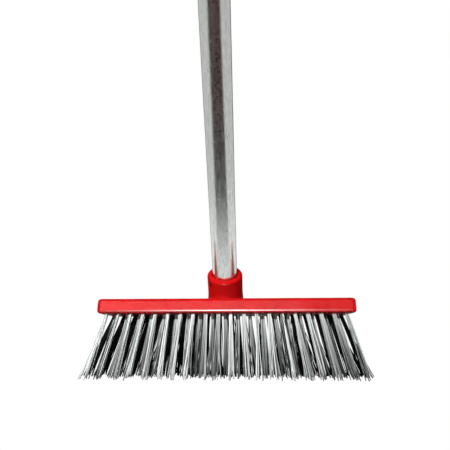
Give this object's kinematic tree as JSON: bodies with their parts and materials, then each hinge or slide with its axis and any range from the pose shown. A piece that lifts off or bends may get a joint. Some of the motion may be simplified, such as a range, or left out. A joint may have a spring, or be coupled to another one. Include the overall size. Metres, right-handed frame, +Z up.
{
  "type": "push broom",
  "caption": "Push broom with a level moulded block, an angled threaded handle socket, rows of anchored grey and black bristle tufts, and a plated steel tube handle with a hanging eye.",
  "frame": {"origin": "on the handle's axis, at the centre of the socket's mouth", "axes": "+X along the block, +Z up with the block level and the bristles down, and -Y towards the user's side, to which the handle leans"},
  "size_m": [0.2786, 0.883, 1.024],
  "materials": {
    "red_plastic": "moulded, glossy",
    "grey_bristle": "extruded filament, satin",
    "black_bristle": "extruded filament, satin",
    "anchor_wire": "drawn flat wire",
    "plated_tube": "plated and drawn, finely speckled",
    "plug_plastic": "moulded, satin"
  },
  "bodies": {
    "head": {"block": "red_plastic", "grey_tufts_row_1": "grey_bristle", "grey_tufts_row_2": "grey_bristle", "black_tufts_row_3": "black_bristle", "black_tufts_row_4": "black_bristle", "anchors_row_1": "anchor_wire", "anchors_row_2": "anchor_wire", "anchors_row_3": "anchor_wire", "anchors_row_4": "anchor_wire"},
    "plug": {"thread_plug": "plug_plastic"},
    "handle": {"handle_tube": "plated_tube", "end_cap": "red_plastic"}
  },
  "joints": [
    {"name": "handle_advance", "type": "slide", "parent": "head", "child": "plug", "axis": [0, -0.6691, 0.7431], "range_m": [0, 0.0281]},
    {"name": "handle_turn", "type": "hinge", "parent": "plug", "child": "handle", "pos_m": [0, 0, 0], "axis": [0, -0.6691, 0.7431], "range_deg": [0, 2520]}
  ],
  "couplings": [
    {"joint": "handle_advance", "follows": "handle_turn", "m_per_rad": 0.00063662}
  ]
}
